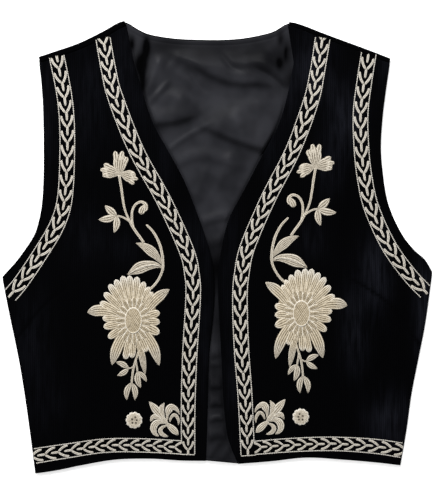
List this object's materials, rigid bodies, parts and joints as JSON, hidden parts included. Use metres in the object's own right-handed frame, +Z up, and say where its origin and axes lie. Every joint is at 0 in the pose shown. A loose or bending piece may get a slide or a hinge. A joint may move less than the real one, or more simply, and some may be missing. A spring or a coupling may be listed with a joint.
{
  "type": "embroidered waistcoat, laid flat",
  "caption": "Short sleeveless folk waistcoat in black velvet with cream flower and border stitching and a grey satin lining, laid flat with its front up.",
  "frame": {"origin": "middle of the garment's box on the surface that it lies on", "axes": "+X to the right as it lies with its front up, +Y towards the neck, +Z up from the surface"},
  "size_m": [0.4756, 0.4975, 0.0113],
  "materials": {
    "velvet": "fine cord velvet with a short nap",
    "lining": "soft satin, creased",
    "embroidery": "satin stitch in rayon thread"
  },
  "bodies": {
    "root": {"back": "velvet", "back_lining": "lining", "front_left": "velvet", "front_right": "velvet", "band_front_left": "embroidery", "band_armhole_left": "embroidery", "band_hem_left": "embroidery", "spray_left": "embroidery", "palmette_left": "embroidery", "rosette_left": "embroidery", "band_front_right": "embroidery", "band_armhole_right": "embroidery", "band_hem_right": "embroidery", "spray_right": "embroidery", "palmette_right": "embroidery", "rosette_right": "embroidery"}
  },
  "joints": []
}
